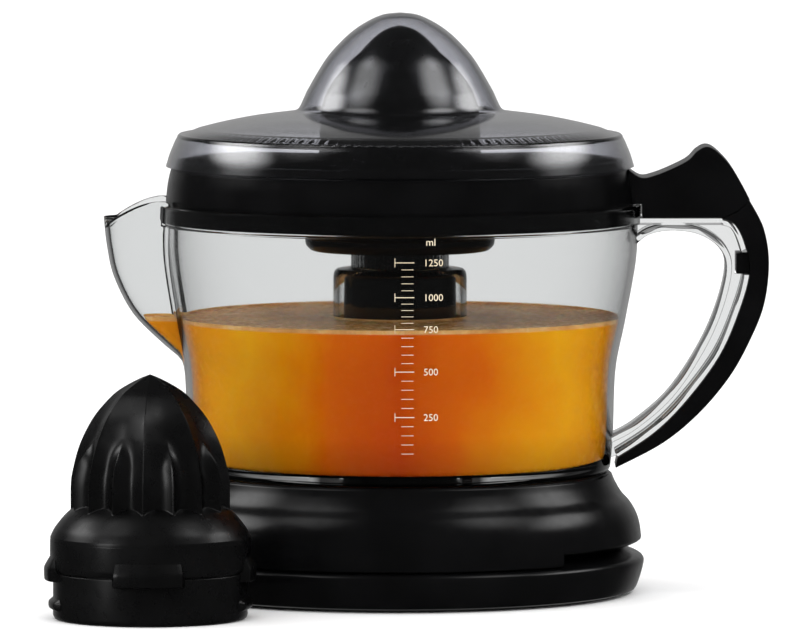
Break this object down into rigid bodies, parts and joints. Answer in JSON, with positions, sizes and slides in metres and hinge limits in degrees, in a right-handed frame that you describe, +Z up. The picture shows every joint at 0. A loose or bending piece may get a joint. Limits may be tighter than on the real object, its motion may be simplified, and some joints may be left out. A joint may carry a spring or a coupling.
{
  "type": "citrus press juicer",
  "caption": "Electric citrus press juicer: black motor base, clear spouted jug with handle, strainer, domed smoke lid, reamer under the lid and a spare reamer beside it.",
  "frame": {"origin": "on the drive axis, on the surface that the juicer stands on", "axes": "+Z up along the drive axis, -X towards the spout, +X towards the handle, -Y the side with the printed scale"},
  "size_m": [0.2704, 0.2402, 0.2195],
  "materials": {
    "black_gloss": "gloss moulded",
    "black_satin": "satin moulded",
    "rubber": "matte",
    "steel": "turned",
    "plated_steel": "zinc plated",
    "laminations": "stacked sheet",
    "copper": "enamelled wire under tape",
    "brass": "stamped",
    "bronze": "sintered",
    "switch_black": "moulded",
    "ferrite": "sintered",
    "white_acetal": "moulded",
    "ivory_acetal": "moulded",
    "grey_acetal": "moulded",
    "red_plastic": "moulded",
    "clear_plastic": "clear moulded",
    "smoke_plastic": "smoke grey, clear"
  },
  "bodies": {
    "motor_base": {"base_housing": "black_gloss", "bottom_cover": "black_satin", "rubber_foot": "rubber", "cover_screws": "steel", "cord_gland": "rubber", "gearbox_plate": "plated_steel", "plate_screws": "steel", "stator_core": "laminations", "stator_coil": "copper", "stator_screws": "steel", "rotor_bracket": "brass", "spindle_bush": "bronze", "tower_bush": "bronze", "idler_pin": "steel", "micro_switch": "switch_black"},
    "rotor": {"rotor_magnet": "ferrite", "rotor_shaft": "steel", "rotor_pinion": "white_acetal"},
    "idler": {"idler_gear": "white_acetal"},
    "output_wheel": {"output_gear": "ivory_acetal"},
    "spindle": {"drive_spindle": "steel", "spindle_clip": "steel", "return_spring": "steel"},
    "plunger": {"switch_plunger": "red_plastic"},
    "pitcher": {"jug": "clear_plastic", "handle_cover": "black_gloss"},
    "pulp_strainer": {"strainer": "black_gloss"},
    "collar": {"guide_collar": "grey_acetal"},
    "washer": {"thrust_washer": "ivory_acetal"},
    "reamer": {"small_reamer": "black_gloss"},
    "cover_lid": {"lid": "smoke_plastic"},
    "spare_reamer": {"large_reamer": "black_satin"}
  },
  "joints": [
    {"name": "output_spin", "type": "hinge", "parent": "motor_base", "child": "output_wheel", "pos_m": [0, 0, 0.0355], "axis": [0, 0, 1], "continuous": true},
    {"name": "idler_spin", "type": "hinge", "parent": "motor_base", "child": "idler", "pos_m": [0, 0.04, 0.03], "axis": [0, 0, 1], "continuous": true},
    {"name": "rotor_spin", "type": "hinge", "parent": "motor_base", "child": "rotor", "pos_m": [-0.02954, 0.03479, 0.02], "axis": [0, 0, 1], "continuous": true},
    {"name": "spindle_press", "type": "slide", "parent": "output_wheel", "child": "spindle", "axis": [0, 0, 1], "range_m": [-0.003, 0], "stiffness_N_per_m": 1500, "springref_m": 0.004, "deforming": ["return_spring"]},
    {"name": "plunger_press", "type": "slide", "parent": "motor_base", "child": "plunger", "axis": [0, 0, 1], "range_m": [-0.003, 0]},
    {"name": "jug_lift", "type": "slide", "parent": "motor_base", "child": "pitcher", "axis": [0, 0, 1], "range_m": [0, 0.12]},
    {"name": "strainer_lift", "type": "slide", "parent": "pitcher", "child": "pulp_strainer", "axis": [0, 0, 1], "range_m": [0, 0.1]},
    {"name": "reamer_lift", "type": "slide", "parent": "pulp_strainer", "child": "collar", "axis": [0, 0, 1], "range_m": [0, 0.08]},
    {"name": "reamer_press", "type": "slide", "parent": "collar", "child": "washer", "axis": [0, 0, 1], "range_m": [-0.003, 0]},
    {"name": "reamer_spin", "type": "hinge", "parent": "washer", "child": "reamer", "pos_m": [0, 0, 0.156], "axis": [0, 0, 1], "continuous": true},
    {"name": "lid_lift", "type": "slide", "parent": "collar", "child": "cover_lid", "axis": [0, 0, 1], "range_m": [0, 0.1]},
    {"name": "spare_lift", "type": "slide", "parent": "motor_base", "child": "spare_reamer", "axis": [0, 0, 1], "range_m": [0, 0.1]}
  ],
  "couplings": [
    {"joint": "idler_spin", "follows": "output_spin", "ratio": -4},
    {"joint": "rotor_spin", "follows": "output_spin", "ratio": 16},
    {"joint": "reamer_spin", "follows": "output_spin", "ratio": 1},
    {"joint": "plunger_press", "follows": "spindle_press", "ratio": 1},
    {"joint": "reamer_press", "follows": "spindle_press", "ratio": 1}
  ]
}
